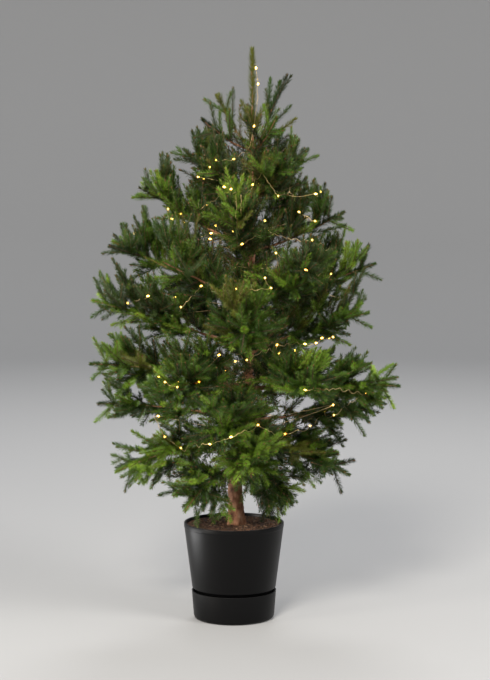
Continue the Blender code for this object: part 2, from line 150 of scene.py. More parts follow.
def frames(lines):
    # unit tangent, side and upper directions at each point of each line
    tangents = unit(np.gradient(lines, axis=1))
    steep = np.abs(tangents[:, :, 2:]).mean(axis=1, keepdims=True) > 0.93
    reference = np.where(steep, np.array([1.0, 0.0, 0.0]), np.array([0.0, 0.0, 1.0]))
    sides = unit(np.cross(tangents, np.broadcast_to(reference, tangents.shape)))
    return tangents, sides, np.cross(sides, tangents)


def tubeArrays(lines, radii, sides, tint):
    # a tube round each line, all with as many points
    _, across, above = frames(lines)
    turns = (np.arange(sides) * math.tau / sides)[None, None, :, None]
    out = across[:, :, None, :] * np.cos(turns) + above[:, :, None, :] * np.sin(turns)
    rings = lines[:, :, None, :] + radii[:, :, None, None] * out
    count, steps = lines.shape[:2]
    firsts = np.arange(count)[:, None, None] * steps * sides
    quads = (gridQuads(steps, sides)[None] + firsts).reshape(-1, 4)
    return rings.reshape(-1, 3), quads, np.full(len(quads), tint)


def triangleCount(*things):
    return sum(len(face.vertices) - 2 for thing in things for face in thing.data.polygons)


def newMaterial(name, colour, roughness, gloss=0.5):
    material = bpy.data.materials.new(name)
    material.use_nodes = True
    shader = material.node_tree.nodes["Principled BSDF"]
    shader.inputs["Base Color"].default_value = (*colour, 1.0)
    shader.inputs["Roughness"].default_value = roughness
    shader.inputs["Specular IOR Level"].default_value = gloss
    return material, shader


def addNode(material, kind, **values):
    node = material.node_tree.nodes.new(kind)
    for name, value in values.items():
        node.inputs[name].default_value = value
    return node


def wire(material, source, target):
    material.node_tree.links.new(source, target)


def noiseNode(material, scale, detail=4.0, stretch=(1.0, 1.0, 1.0)):
    place = addNode(material, "ShaderNodeTexCoord")
    mapping = addNode(material, "ShaderNodeMapping", Scale=stretch)
    wire(material, place.outputs["Object"], mapping.inputs["Vector"])
    pattern = addNode(material, "ShaderNodeTexNoise", Scale=scale, Detail=detail)
    wire(material, mapping.outputs["Vector"], pattern.inputs["Vector"])
    return pattern.outputs["Fac"]


def colourRamp(material, shader, source, stops):
    ramp = addNode(material, "ShaderNodeValToRGB")
    elements = ramp.color_ramp.elements
    while len(elements) < len(stops):
        elements.new(0.5)
    for element, (place, colour) in zip(elements, stops):
        element.position = place
        element.color = (*colour, 1.0)
    wire(material, source, ramp.inputs["Fac"])
    wire(material, ramp.outputs["Color"], shader.inputs["Base Color"])


def roughnessRange(material, shader, source, low, high):
    span = addNode(material, "ShaderNodeMapRange")
    span.inputs["To Min"].default_value = low
    span.inputs["To Max"].default_value = high
    wire(material, source, span.inputs["Value"])
    wire(material, span.outputs["Result"], shader.inputs["Roughness"])


def bumpNode(material, shader, source, strength, depth):
    bump = addNode(material, "ShaderNodeBump", Strength=strength, Distance=depth)
    wire(material, source, bump.inputs["Height"])
    wire(material, bump.outputs["Normal"], shader.inputs["Normal"])


# Trunk: height, sideways place and radius at each turn, as in the source
trunk = {
    "line": (
        (soilHigh.z + 0.0003, 0.008, 0.0230), (0.440, 0.004, 0.0205), (0.530, 0.020, 0.0185),
        (0.650, 0.038, 0.0160), (0.800, 0.044, 0.0140), (0.950, 0.051, 0.0120),
        (1.120, 0.052, 0.0095), (1.300, 0.058, 0.0062), (1.412, 0.055, 0.0042),
    ),
    "depthLean": 0.012,
    "sides": 12,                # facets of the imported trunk, which the branches stand on
    "leaderTip": (0.053, 0.012, 1.668),
}

# Branches by whorl: height, arch, bare bough or not, then bearing, reach and rise of each
whorls = (
    (0.452, 0.020, False, ((236, 0.255, -0.095), (335, 0.180, -0.100))),
    (0.505, 0.025, False, ((350, 0.325, -0.070), (80, 0.325, -0.030), (188, 0.362, -0.062),
                           (276, 0.325, -0.035))),
    (0.585, 0.015, True, ((20, 0.395, -0.010), (108, 0.385, 0.030), (174, 0.432, 0.045),
                          (260, 0.385, 0.015))),
    (0.680, 0.015, True, ((356, 0.442, 0.012), (78, 0.400, 0.055), (186, 0.458, 0.080),
                          (238, 0.400, 0.040), (302, 0.390, 0.040))),
    (0.795, 0.008, True, ((350, 0.350, 0.115), (50, 0.390, 0.110), (126, 0.395, 0.120),
                          (180, 0.456, 0.140), (268, 0.395, 0.100))),
    (0.935, -0.004, False, ((6, 0.365, 0.110), (88, 0.355, 0.145), (172, 0.410, 0.175),
                            (228, 0.365, 0.130), (300, 0.355, 0.130))),
    (1.085, -0.008, False, ((350, 0.270, 0.115), (50, 0.260, 0.150), (120, 0.270, 0.155),
                            (184, 0.305, 0.180), (262, 0.270, 0.130))),
    (1.235, -0.010, False, ((14, 0.165, 0.145), (84, 0.175, 0.145), (164, 0.210, 0.145),
                            (226, 0.185, 0.110), (300, 0.180, 0.120))),
    (1.372, -0.010, False, ((22, 0.084, 0.205), (96, 0.115, 0.125), (168, 0.108, 0.165),
                            (208, 0.165, 0.090), (300, 0.130, 0.100))),
)
topWhorl, leaderLevel = 9, 10

# How far the crown reaches from the trunk: height, to the left and to the right
crownEdge = (
    (0.330, 0.18, 0.16), (0.390, 0.26, 0.25), (0.440, 0.37, 0.32), (0.530, 0.38, 0.31),
    (0.610, 0.43, 0.41), (0.700, 0.46, 0.43), (0.770, 0.45, 0.35), (0.850, 0.43, 0.30),
    (0.960, 0.46, 0.35), (1.050, 0.45, 0.36), (1.130, 0.43, 0.31), (1.200, 0.40, 0.27),
    (1.280, 0.35, 0.22), (1.350, 0.32, 0.18), (1.420, 0.21, 0.14), (1.480, 0.15, 0.12),
    (1.550, 0.10, 0.09), (1.620, 0.03, 0.03), (1.668, 0.02, 0.02),
)

# Where the photograph shows sky: pixel, half width and half height of seven gaps between the
# branches and of the notch at the lower left
gaps = {
    "places": ((265, 217, 6, 4), (288, 243, 13, 4), (275, 265, 5, 4), (324, 223, 6, 4),
               (312, 313, 7, 3), (306, 403, 8, 6), (172, 269, 9, 6), (128, 430, 26, 12)),
    "margin": 1.5,              # pixels that needles reach past their shoot
    "across": 0.11,             # share of the shoots that is left across them
}
gapTwigs = random.Random(17)

# The source's rule of growth
growth = {
    "seed": 41,
    "year": 0.108, "mostYears": 4, "sideAngle": math.radians(50),
    "sideFirst": 0.80, "sideShare": 0.42, "uprightFirst": 0.72, "uprightShare": 1.08,
    "sprayWidth": 0.045, "sprayFlatness": 0.70, "notch": 0.62, "rootSunk": 0.002,
    "least": 0.050, "long": 0.150, "longest": 0.190, "lengthTries": (1.0, 0.80, 0.64),
    "spaceMargin": 0.0035, "limbMargin": 0.006, "rootGap": 0.0004, "stagger": 0.005,
    "boughShare": 0.26, "axisSteps": 16,
}

# What carries it on to finer shoots. Rows of nine and ten go by whorl, the leader last
finer = {
    "lineRings": 7,             # points along each shoot
    "year": 0.080,              # from a side branch's tip back to its own side shoots
    "laterYear": 0.66,          # of that on shoots of the third order
    "topYear": 1.9,             # and in the top whorl
    "angle": (38, 54),
    "shortEvery": 0.040, "topShortEvery": 0.150, "shortLength": (0.022, 0.042),
    "bearing": 0.082,           # shoots longer than this bear shoots of their own
    "mostOrders": 4,
    "overlap": 0.050,           # how far they may reach into the next mass's room
    "limbGap": 0.004,
    "needleReach": 0.008,
    # nearer to the trunk than this share, side shoots bear no more of their own
    "heart": (0.40, 0.24, 0.24, 0.40, 0.40, 0.40, 0.40, 0.40, 0.40),
    "fillStep": 0.023,          # between the branches that fill a mass out
    "fillShare": (1.9, 1.45, 1.4, 1.25, 1.25, 1.2, 1.1, 1.0, 0.25),
    "fillLength": (0.100, 0.190), "topFillLength": (0.060, 0.100),
    "fillAngle": (26, 50),
    "fillAbove": (0.56, 0.62, 0.40, 0.56, 0.56, 0.56, 0.56, 0.56, 0.70),    # share that stands up
    "stemEvery": 0.026, "topStemEvery": 0.050,      # between short shoots on a stem
    "stemLength": (0.035, 0.085), "stemBearing": 0.055,
    "stemNeedles": (1.6, 1.2, 0.70, 0.35), "upperNeedles": 1.25,    # by year, and high up
    "trunkShoots": 170, "trunkFrom": 0.48, "trunkLength": (0.08, 0.17),
    # how far shoots turn up, from the drooping lowest to the steep top
    "turnUp": (-0.10, 0.02, 0.12, 0.22, 0.30, 0.54, 0.62, 0.50, 0.38, 0.30),
}


def trunkAt(height):
    line = trunk["line"]
    heights = [row[0] for row in line]
    height = min(max(height, heights[0]), heights[-1])
    k = max(i for i in range(len(heights) - 1) if heights[i] <= height)
    t = (height - heights[k]) / (heights[k + 1] - heights[k])
    before, low, high = line[max(k - 1, 0)], line[k], line[k + 1]
    after = line[min(k + 2, len(line) - 1)]
    span = high[0] - low[0]
    slopeLow = (high[1] - before[1]) / (high[0] - before[0]) * span
    slopeHigh = (after[1] - low[1]) / (after[0] - low[0]) * span
    x = ((2 * t ** 3 - 3 * t ** 2 + 1) * low[1] + (t ** 3 - 2 * t ** 2 + t) * slopeLow
         + (3 * t ** 2 - 2 * t ** 3) * high[1] + (t ** 3 - t ** 2) * slopeHigh)
    share = (height - heights[0]) / (heights[-1] - heights[0])
    return Vector((x, trunk["depthLean"] * share, height)), low[2] + (high[2] - low[2]) * t


def branchAxis(height, arch, bearing, reach, rise):
    centre, radius = trunkAt(height)
    along = (trunkAt(height + 0.01)[0] - trunkAt(height - 0.01)[0]).normalized()
    turn = math.radians(bearing)
    corner = math.tau / trunk["sides"]
    surface = radius * math.cos(turn - corner * round(turn / corner))
    level = Vector((math.cos(turn), math.sin(turn), 0.0))
    out = (level - along * level.dot(along)).normalized()
    root = centre + out * (surface + growth["rootGap"])
    tip = centre + level * reach + up * rise
    steps = growth["axisSteps"]
    return [root.lerp(tip, i / steps) + up * (arch * 4 * i / steps * (1 - i / steps))
            for i in range(steps + 1)]


def pointAlong(points, share):
    place = min(max(share, 0.0), 1.0) * (len(points) - 1)
    k = min(int(place), len(points) - 2)
    step = points[k + 1] - points[k]
    return points[k] + step * (place - k), step.normalized()


def lengthOf(points):
    return sum((b - a).length for a, b in zip(points, points[1:]))


def crownReach(x, y, z):
    # the crown's edge at a height, between its left and right sides by bearing
    heights, left, right = zip(*crownEdge)
    toRight = 0.5 + 0.5 * math.cos(math.atan2(y, x - trunkAt(z)[0].x))
    return np.interp(z, heights, left) * (1 - toRight) + np.interp(z, heights, right) * toRight


def outwardness(shoot):
    # 0 at the trunk and 1 at the crown's edge, at the height of a shoot's middle
    x, y, z = shoot["line"][3]
    return math.hypot(x - trunkAt(z)[0].x, y) / crownReach(x, y, z)


def inCrown(point):
    x, y, z = point
    return math.hypot(x - trunkAt(z)[0].x, y) < crownReach(x, y, z) - finer["needleReach"]


def crossesGap(points):
    # whether a shoot would close one of the crown's gaps
    for point in points:
        px, py = photoPixel(point)
        for gapX, gapY, halfWidth, halfHeight in gaps["places"]:
            across = (px - gapX) / (halfWidth + gaps["margin"])
            if across ** 2 + ((py - gapY) / (halfHeight + gaps["margin"])) ** 2 < 1.0:
                return gapTwigs.random() > gaps["across"]
    return False


def curved(start, direction, curl, length, t):
    # a place along a shoot that bends by its curl towards the tip
    return start + direction * (length * t) + curl * (length * t * t)


def outerSpots(start, direction, curl, length):
    return [curved(start, direction, curl, length, t) for t in (0.4, 0.7, 1.0)]


class Rooms:
    # what lies nearer to a branch's own axis than to any other is that mass's room

    def __init__(self, axes):
        starts = [a for points in axes for a in points[:-1]]
        ends = [b for points in axes for b in points[1:]]
        self.owners = np.array([i for i, points in enumerate(axes) for _ in points[1:]])
        self.starts = np.array(starts)
        self.steps = np.array(ends) - self.starts
        self.lengths = (self.steps ** 2).sum(axis=1)
        heights = np.linspace(trunk["line"][0][0], trunk["line"][-1][0], 2000)
        found = [trunkAt(h) for h in heights]
        self.trunk = np.array([(h, c.x, c.y, r) for h, (c, r) in zip(heights, found)])

    def clearances(self, owner, points):
        # least room to the next mass's border, to the trunk and above the pot's rim
        points = np.asarray(points)
        offsets = points[:, None, :] - self.starts[None]
        shares = np.clip((offsets * self.steps).sum(axis=2) / self.lengths, 0.0, 1.0)
        distances = np.linalg.norm(offsets - shares[:, :, None] * self.steps, axis=2)
        own = distances[:, self.owners == owner].min(axis=1)
        other = distances[:, self.owners != owner].min(axis=1)
        x, y, z = points.T
        h, cx, cy, r = self.trunk.T
        toTrunk = np.hypot(x - np.interp(z, h, cx), y - np.interp(z, h, cy)) - np.interp(z, h, r)
        toTrunk = np.where(z < h[-1] + growth["limbMargin"], toTrunk, 1.0)
        return (other - own).min(), toTrunk.min(), z.min() - potHigh.z


def bladePoints(start, direction, faceUp, length, width, curl):
    # corners and edge middles of the source's toothed blade, for the same test of room
    rows = 3 if length > growth["long"] else 2
    side = direction.cross(faceUp).normalized()
    faceUp = side.cross(direction).normalized()
    count = 2 * rows - 1
    rings = []
    for i in range(count):
        tooth = i % 2 == 0
        t = (i + (1.15 if tooth else 0.80)) / (count + 1.0)
        body = (1.0 if tooth else growth["notch"]) * (1.0 - 0.50 * t ** 1.5)
        centre = curved(start, direction, curl, length, t)
        half = side * (width * body / 2)
        ridge = faceUp * (width * body * growth["sprayFlatness"])
        sunk = centre - ridge * 0.4
        rings.append([sunk - half, sunk + half, centre + ridge * 0.6])
    corners = [point for ring in rings for point in ring] + [start + (direction + curl) * length]
    middles = [(a + b) / 2 for low, high in zip(rings, rings[1:]) for a, b in zip(low, high)]
    return corners + middles


def sideDirection(along, roll, angle, turnUp):
    side = along.cross(up)
    side = side.normalized() if side.length > 1e-4 else Vector((1.0, 0.0, 0.0))
    above = side.cross(along).normalized()
    out = side * math.cos(roll) + above * math.sin(roll)
    return (along * math.cos(angle) + out * math.sin(angle) + up * turnUp).normalized(), above


shoots = []                     # every shoot in needles, as one dictionary each
sprays = {"count": 0}           # a side branch and its shoots are one spray, in one tint


def addShoot(start, direction, length, curl, level, order, thick, age=0, needles=1.0):
    if order <= 2:
        sprays["count"] += 1
    t = np.linspace(0.0, 1.0, finer["lineRings"])[:, None]
    line = curved(np.array(start), np.array(direction), np.array(curl), length, t)
    shoots.append({"line": line, "length": length, "level": level, "order": order,
                   "thick": thick, "age": age, "needles": needles, "spray": sprays["count"]})


def roomForFine(rooms, owner, start, direction, length, curl):
    spots = outerSpots(start, direction, curl, length)
    border, limb, rim = rooms.clearances(owner, spots)
    return (border > -finer["overlap"] and limb > finer["limbGap"] and rim > finer["limbGap"]
            and inCrown(spots[-1]) and not crossesGap(spots))


def growFine(rooms, owner, level, start, direction, above, length, curl, order, rng):
    # side shoots of a side branch: a pair at each fine year back from its tip, and short ones
    # between, each tried shorter where it has no room
    lift = up * finer["turnUp"][level - 1]

    def tryShoot(share, roll, angle, size):
        root = curved(start, direction, curl, length, share)
        ahead = (direction + curl * (2 * share)).normalized()
        side = ahead.cross(above).normalized()
        top = side.cross(ahead).normalized()
        out = side * math.cos(roll) + top * math.sin(roll)
        heading = (ahead * math.cos(angle) + out * math.sin(angle) + lift).normalized()
        bend = lift * rng.uniform(0.0, 0.5) + ahead * rng.uniform(0.0, 0.15)
        for reach in (size, size * 0.75):
            if roomForFine(rooms, owner, root, heading, reach, bend):
                addShoot(root, heading, reach, bend, level, order + 1, 0.0011, age=1 - share)
                isOuter = outwardness(shoots[-1]) > finer["heart"][level - 1]
                if reach > finer["bearing"] and order + 1 < finer["mostOrders"] and isOuter:
                    growFine(rooms, owner, level, root, heading, top, reach, bend, order + 1, rng)
                return

    step = finer["year"] * rng.uniform(0.85, 1.15) * (1.0 if order < 3 else finer["laterYear"])
    if level >= topWhorl:
        step *= finer["topYear"]
    k = 1
    while k * step < length - 0.015:
        share = 1.0 - k * step / length
        size = step * (0.72 + 0.26 * k) * rng.uniform(0.85, 1.15)
        tilt = rng.uniform(-0.35, 0.45)
        angle = math.radians(rng.uniform(*finer["angle"]))
        tryShoot(share, tilt, angle, size)
        tryShoot(share + rng.uniform(0.0, 0.02), math.pi - tilt, angle, size)
        k += 1
    count = int(length / finer["shortEvery" if level < topWhorl else "topShortEvery"])
    for i in range(count):
        share = (i + rng.uniform(0.25, 0.75)) / count * 0.70
        tryShoot(share, rng.uniform(0, math.tau), math.radians(rng.uniform(42, 62)),
                 rng.uniform(*finer["shortLength"]))


def growMass(rooms, owner, level, stem, lift):
    # the source's rule, draw by draw, with each toothed blade as a branch with shoots of its own
    rng = random.Random(growth["seed"] + owner)
    fine = random.Random(1000 + owner)
    total = lengthOf(stem)
    year = growth["year"]
    isTop = level >= topWhorl

    def place(share, roll, angle, length, width):
        start, along = pointAlong(stem, share)
        direction, above = sideDirection(along, roll, angle, lift)
        sunk = start - direction * growth["rootSunk"]
        for shorter in growth["lengthTries"]:
            size = length * shorter
            if size < growth["least"]:
                return
            curl = up * rng.uniform(0.02, 0.07) * (1.0 if lift > 0 else -1.0)
            blade = bladePoints(sunk, direction, above, size, width, curl)
            border, limb, rim = rooms.clearances(owner, blade)
            if border >= 2 * growth["spaceMargin"] and min(limb, rim) >= growth["limbMargin"]:
                if not crossesGap(outerSpots(sunk, direction, curl, size)):
                    addShoot(sunk, direction, size, curl, level, 2, 0.0017, age=1 - share)
                    growFine(rooms, owner, level, sunk, direction, above, size, curl, 2, fine)
                return

    step = year / 2
    halves = [k for k in range(1, 2 * growth["mostYears"]) if k * step < total - step * 0.7]
    for k, distance in [(k, k * step) for k in halves] + [(len(halves) + 1, total * 0.985)]:
        share = 1.0 - distance / total
        if k % 2 == 0:
            length = min(year * (growth["sideFirst"] + growth["sideShare"] * k / 2),
                         growth["longest"])
            tilt = rng.uniform(-0.15, 0.60)
            rolls = [tilt, math.pi - tilt + rng.uniform(-0.3, 0.3)]
        else:
            length = year * (growth["uprightFirst"] if k == 1 else growth["uprightShare"])
            rolls = [rng.uniform(1.1, 2.0), rng.uniform(-2.0, -1.1)]
        for roll in rolls:
            place(share + rng.uniform(0.0, 0.03), roll,
                  growth["sideAngle"] * rng.uniform(0.88, 1.18),
                  length * rng.uniform(0.88, 1.10),
                  growth["sprayWidth"] * rng.uniform(0.88, 1.12))

    # More branches than the solid has room for, from the same stem, until the mass is full
    turnUp = finer["turnUp"][level - 1]
    count = int(total / finer["fillStep"] * finer["fillShare"][level - 1])
    for i in range(count):
        share = 0.02 + 0.93 * (i + fine.random()) / count
        start, along = pointAlong(stem, share)
        standsUp = fine.random() < finer["fillAbove"][level - 1]
        roll = fine.uniform(0.5, 2.6) if standsUp else -fine.uniform(0.4, 2.7)
        angle = math.radians(fine.uniform(*finer["fillAngle"]))
        direction, above = sideDirection(along, roll, angle, turnUp * fine.uniform(0.2, 1.0))
        curl = up * turnUp * fine.uniform(0.1, 0.5)
        lengths = finer["topFillLength" if isTop else "fillLength"]
        longest = fine.uniform(*lengths) * (1.10 - 0.25 * share)
        for shorter in growth["lengthTries"]:
            size = longest * shorter
            if size > growth["least"] and roomForFine(rooms, owner, start, direction, size, curl):
                addShoot(start, direction, size, curl, level, 2, 0.0015, age=1 - share)
                growFine(rooms, owner, level, start, direction, above, size, curl, 2, fine)
                break
    # Short shoots straight from the stem, on all sides between the years' ends
    count = int(total / finer["topStemEvery" if isTop else "stemEvery"])
    for i in range(count):
        share = 0.04 + 0.90 * (i + fine.random()) / count
        start, along = pointAlong(stem, share)
        roll = fine.uniform(0, math.tau)
        direction, above = sideDirection(along, roll, math.radians(fine.uniform(42, 66)), lift)
        size = fine.uniform(*finer["stemLength"]) * (1.15 - 0.35 * share)
        curl = up * fine.uniform(0.0, 0.08)
        if roomForFine(rooms, owner, start, direction, size, curl):
            addShoot(start, direction, size, curl, level, 2, 0.0012, age=1 - share)
            if size > finer["stemBearing"]:
                growFine(rooms, owner, level, start, direction, above, size, curl, 3, fine)
    # The stem's own outer years are in needles too
    sprays["count"] += 1
    for i in range(max(1, math.ceil(total / year))):
        outer, inner = 1.0 - i * year / total, 1.0 - min((i + 1) * year / total, 1.0)
        ends = [pointAlong(stem, inner + (outer - inner) * j / 6)[0] for j in range(7)]
        needles = finer["stemNeedles"][min(i, 3)] * (finer["upperNeedles"] if level > 7 else 1.0)
        shoots.append({"line": np.array(ends), "length": (outer - inner) * total,
                       "level": level, "order": 1, "thick": 0.0022, "age": i,
                       "needles": needles, "spray": sprays["count"]})


def growTree():
    branches = []
    for level, (height, arch, hasBough, rows) in enumerate(whorls, start=1):
        for i, (bearing, reach, rise) in enumerate(rows):
            start = height + growth["stagger"] * (i % 2)
            axis = branchAxis(start, arch, bearing, reach, rise)
            branches.append({"level": level, "axis": axis, "reach": reach, "rise": rise,
                             "hasBough": hasBough, "bearing": bearing})
    top = trunkAt(trunk["line"][-1][0])[0] + up * 0.0003
    leader = [top.lerp(Vector(trunk["leaderTip"]), i / 8) for i in range(9)]
    rooms = Rooms([branch["axis"] for branch in branches] + [leader])
    for owner, branch in enumerate(branches):
        stem = branch["axis"]
        if branch["hasBough"]:
            first = growth["boughShare"] + 0.0003 / lengthOf(stem)
            steps = growth["axisSteps"]
            stem = [pointAlong(branch["axis"], first + (1 - first) * i / steps)[0]
                    for i in range(steps + 1)]
        growMass(rooms, owner, branch["level"], stem, 0.30 * branch["rise"] / branch["reach"])
    growLeader(leader)
    growTrunkShoots(rooms, branches)
    return branches, leader


def growLeader(leader):
    rng = random.Random(77)
    along = (leader[-1] - leader[0]).normalized()
    addShoot(leader[0], along, lengthOf(leader), up * 0.0, leaderLevel, 1, 0.0026, needles=1.6)
    for i in range(7):
        turn = 0.9 + i * 2.4
        out = Vector((math.cos(turn), math.sin(turn), 0.0))
        direction = (along + out * rng.uniform(0.6, 1.0)).normalized()
        root = leader[0] + along * (0.004 + 0.007 * i)
        addShoot(root, direction, rng.uniform(0.040, 0.065), up * 0.1, leaderLevel, 3, 0.0012)


def growTrunkShoots(rooms, branches):
    # weak shoots between the whorls, which fill the crown's heart, most of them at the front
    rng = random.Random(505)
    count, lowest = finer["trunkShoots"], finer["trunkFrom"]
    for i in range(count):
        span = trunk["line"][-1][0] - lowest - 0.006
        height = lowest + span * (i + rng.random()) / count
        centre, radius = trunkAt(height)
        turn = i * 2.4 + rng.uniform(-0.5, 0.5)
        if i % 4 == 0:
            turn = math.radians(rng.uniform(225, 315))
        out = Vector((math.cos(turn), math.sin(turn), 0.0))
        direction = (out + up * rng.uniform(0.05, 0.75)).normalized()
        start = centre + out * radius * 0.8
        length = rng.uniform(*finer["trunkLength"]) * (1.15 - 0.45 * i / count)
        near = min(range(len(branches)),
                   key=lambda k: min((p - start - out * 0.08).length for p in branches[k]["axis"]))
        level = branches[near]["level"]
        curl = up * rng.uniform(0.0, 0.12)
        if crossesGap(outerSpots(start, direction, curl, length)):
            continue
        addShoot(start, direction, length, curl, level, 2, 0.0015, age=3, needles=0.7)
        growFine(rooms, near, level, start, direction, up.cross(direction).cross(direction) * -1,
                 length, curl, 3, rng)


makeCamera()
branches, leader = growTree()
print("shoots:", len(shoots), "metres:", round(sum(s["length"] for s in shoots), 1))

# Needles: tints dealt out by spray. Besides real differences in tone, deep partly paints shade,
# and fresh and bright partly paint light
needleTints = {
    "deep": (0.013, 0.028, 0.004),
    "forest": (0.030, 0.064, 0.007),
    "green": (0.060, 0.116, 0.011),
    "fresh": (0.112, 0.196, 0.016),
    "bright": (0.190, 0.295, 0.028),
    "grey": (0.043, 0.070, 0.019),
    "olive": (0.090, 0.104, 0.013),
}
needleLook = {
    "length": 0.0140, "width": 0.0026, "perMetre": 1490,
    "leaderLength": 1.3,
    "innerShare": 0.32,         # of the needles, on shoots that lie deep in the crown
    "lean": math.radians(50),   # away from the shoot
    "goldenTurn": 2.39996,      # from one needle to the next round the shoot
    "twist": 1.3,
    "roughness": 0.42, "gloss": 0.28,
    "tintSteps": 0.40,          # share of shoots a step lighter or darker than their spray
}
needlePieces = {"1_2": (1, 2), "3": (3,), "4": (4,), "5": (5,), "6": (6,), "7": (7,),
                "8_top": (8, topWhorl, leaderLevel)}


def tintOf(shoot, rng):
    # the heart is darker, partly painted shade; the outer shoots and the low left front, where the
    # light falls, are lighter, partly painted light; the top greyer
    x, _, z = shoot["line"][-1]
    # shoots deep in the crown: darker tints, partly painted shade
    weights = {"deep": 0.45, "forest": 1.0, "green": 0.7, "fresh": 0.12, "bright": 0.02,
               "grey": 0.05, "olive": 0.06}
    # outer shoots: lighter tints, partly painted light on the lit outside of the crown
    if outwardness(shoot) > 0.55:
        weights.update({"deep": 0.08, "forest": 0.8, "green": 1.0, "fresh": 0.40, "bright": 0.06})
    # low left front: lighter tints, partly painted light where the light falls
    if z < 0.64 and x < 0.08:
        weights.update({"deep": 0.20, "fresh": 0.60, "bright": 0.12})
    if z > 0.95:
        weights.update({"grey": 0.45, "olive": 0.20})
    if z > 1.35:
        weights.update({"grey": 0.80, "olive": 0.60, "fresh": 0.10, "bright": 0.02})
    if shoot["level"] == leaderLevel:
        weights = {"olive": 1.0}
    return rng.choices(list(weights), list(weights.values()))[0]


def dealTints():
    # one tint a spray, and fewer needles deep in the crown
    rng = random.Random(9)
    ladder = ["deep", "forest", "green", "fresh", "bright"]
    names = list(needleTints)
    chosen = {}
    for shoot in shoots:
        if shoot["spray"] not in chosen:
            chosen[shoot["spray"]] = tintOf(shoot, rng)
        tint = chosen[shoot["spray"]]
        if tint in ladder and rng.random() < needleLook["tintSteps"]:
            step = rng.choice((-1, 1))
            tint = ladder[min(max(ladder.index(tint) + step, 0), len(ladder) - 1)]
        shoot["tint"] = names.index(tint)
        depth = min(max((outwardness(shoot) - 0.25) / 0.35, 0.0), 1.0)
        if shoot["level"] < leaderLevel:
            inner = needleLook["innerShare"]
            shoot["needles"] *= inner + (1.0 - inner) * depth


def needleArrays(group, draw):
    # two faces to a needle, folded along its length
    lines = np.array([s["line"] for s in group], np.float32)
    tangents, sides, aboves = (a.astype(np.float32) for a in frames(lines))
    counts = np.array([max(6, int(s["length"] * needleLook["perMetre"] * s["needles"]))
                       for s in group])
    which = np.repeat(np.arange(len(group)), counts)
    order = np.arange(len(which)) - np.repeat(np.cumsum(counts) - counts, counts)
    t = (order + draw.random(len(which))) / np.repeat(counts, counts)
    t = 0.03 + 0.97 * t.astype(np.float32)
    place = t * (lines.shape[1] - 1)
    k = np.minimum(place.astype(int), lines.shape[1] - 2)
    f = (place - k)[:, None].astype(np.float32)

    def along(values):
        return values[which, k] * (1 - f) + values[which, k + 1] * f

    base, tangent, side, above = along(lines), along(tangents), along(sides), along(aboves)
    turn = (order * needleLook["goldenTurn"] + draw.random(len(which)) * 0.8)[:, None]
    radial = unit(side * np.cos(turn) + above * np.sin(turn) + above * 0.28)
    tipness = np.clip((t - 0.86) / 0.14, 0.0, 1.0)
    lean = needleLook["lean"] * (1.0 + 0.13 * draw.standard_normal(len(which)))
    lean = (lean * (1.0 - 0.52 * tipness))[:, None]
    heading = unit(tangent * np.cos(lean) + radial * np.sin(lean) + np.array([0.0, 0.0, 0.08]))
    size = needleLook["length"] * (0.84 + 0.32 * draw.random(len(which)))
    size = size * (1.0 - 0.22 * tipness) * (0.80 + 0.20 * np.clip(t / 0.15, 0, 1))
    longer = np.array([needleLook["leaderLength"] if s["level"] == leaderLevel else 1.0
                       for s in group])
    size = (size * longer[which])[:, None]
    across = unit(np.cross(heading, radial))
    face = np.cross(across, heading)
    twist = (draw.random(len(which)) - 0.5)[:, None] * needleLook["twist"]
    across, face = (across * np.cos(twist) + face * np.sin(twist),
                    face * np.cos(twist) - across * np.sin(twist))
    half = needleLook["width"] / 2
    base = base + radial * np.array([s["thick"] for s in group], np.float32)[which][:, None] * 0.7
    middle = base + heading * size * 0.42 - face * half * 0.55
    points = np.stack([base, middle + across * half, middle - across * half,
                       base + heading * size + tangent * size * 0.05], axis=1)
    first = np.arange(len(which))[:, None] * 4
    faces = np.concatenate([first + np.array([0, 2, 3]), first + np.array([0, 3, 1])])
    tints = np.array([s["tint"] for s in group])[which]
    return points.reshape(-1, 3), faces, np.concatenate([tints, tints])


def makeNeedles():
    dealTints()
    materials = [newMaterial("needles_" + name, colour, needleLook["roughness"],
                             needleLook["gloss"])[0] for name, colour in needleTints.items()]
    draw = np.random.default_rng(12)
    total = 0
    for label, levels in needlePieces.items():
        group = [s for s in shoots if s["level"] in levels]
        points, faces, tints = needleArrays(group, draw)
        nodes = [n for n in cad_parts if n.startswith("needles_")
                 and int(n.split("_")[1]) in levels]
        if leaderLevel in levels:
            nodes.append("leader")
        mesh = meshFromArrays("needles_" + label, points, faces, tints)
        showMesh("needleSprays_" + label, mesh, materials, nodes)
        total += len(faces)
        print("needles", label, len(faces), "triangles")
    return total


# Twigs and the buds at their tips
twigs = {
    "young": (0.150, 0.085, 0.030), "old": (0.075, 0.042, 0.022), "bud": (0.160, 0.062, 0.022),
    # side branches, then finer shoots: sides, every how many points, and colour
    "tubes": ((False, 4, 2, 1), (True, 3, 3, 0)),
    "budFrom": 0.050,           # shoots longer than this end in a bud
    "budSteps": (-0.002, 0.0025, 0.0070), "budRadii": (0.0013, 0.0021, 0.0003),
    "taper": 0.55,
}


